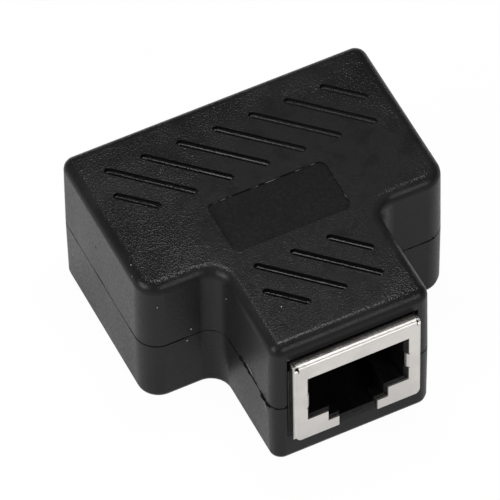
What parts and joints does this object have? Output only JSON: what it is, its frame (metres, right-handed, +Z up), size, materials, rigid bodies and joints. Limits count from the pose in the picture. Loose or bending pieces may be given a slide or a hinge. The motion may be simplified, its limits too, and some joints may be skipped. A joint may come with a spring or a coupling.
{
  "type": "network cable splitter adapter",
  "caption": "T-shaped black network splitter: a shielded modular socket in the stem and a pair of them side by side in the end of the bar.",
  "frame": {"origin": "middle of the footprint on the resting face", "axes": "+Z up from the resting face; the single socket faces -Y and the pair faces +Y; +X to the right seen from the single socket"},
  "size_m": [0.0386, 0.039, 0.0206],
  "materials": {
    "housing_plastic": "fine moulded texture",
    "plated_sheet": "nickel plated sheet",
    "jack_plastic": "smooth moulded",
    "board_laminate": "solder resist",
    "plated_contact": "gold plated",
    "solder": "bright solder"
  },
  "bodies": {
    "root": {"upper_shell": "housing_plastic", "lower_shell": "housing_plastic", "circuit_board": "board_laminate", "front_jack_shield": "plated_sheet", "front_jack_body": "jack_plastic", "front_jack_insert": "jack_plastic", "front_jack_solder": "solder", "front_contact_1": "plated_contact", "front_contact_2": "plated_contact", "front_contact_3": "plated_contact", "front_contact_4": "plated_contact", "front_contact_5": "plated_contact", "front_contact_6": "plated_contact", "front_contact_7": "plated_contact", "front_contact_8": "plated_contact", "left_jack_shield": "plated_sheet", "left_jack_body": "jack_plastic", "left_jack_insert": "jack_plastic", "left_jack_solder": "solder", "left_contact_1": "plated_contact", "left_contact_2": "plated_contact", "left_contact_3": "plated_contact", "left_contact_4": "plated_contact", "left_contact_5": "plated_contact", "left_contact_6": "plated_contact", "left_contact_7": "plated_contact", "left_contact_8": "plated_contact", "right_jack_shield": "plated_sheet", "right_jack_body": "jack_plastic", "right_jack_insert": "jack_plastic", "right_jack_solder": "solder", "right_contact_1": "plated_contact", "right_contact_2": "plated_contact", "right_contact_3": "plated_contact", "right_contact_4": "plated_contact", "right_contact_5": "plated_contact", "right_contact_6": "plated_contact", "right_contact_7": "plated_contact", "right_contact_8": "plated_contact"}
  },
  "joints": []
}
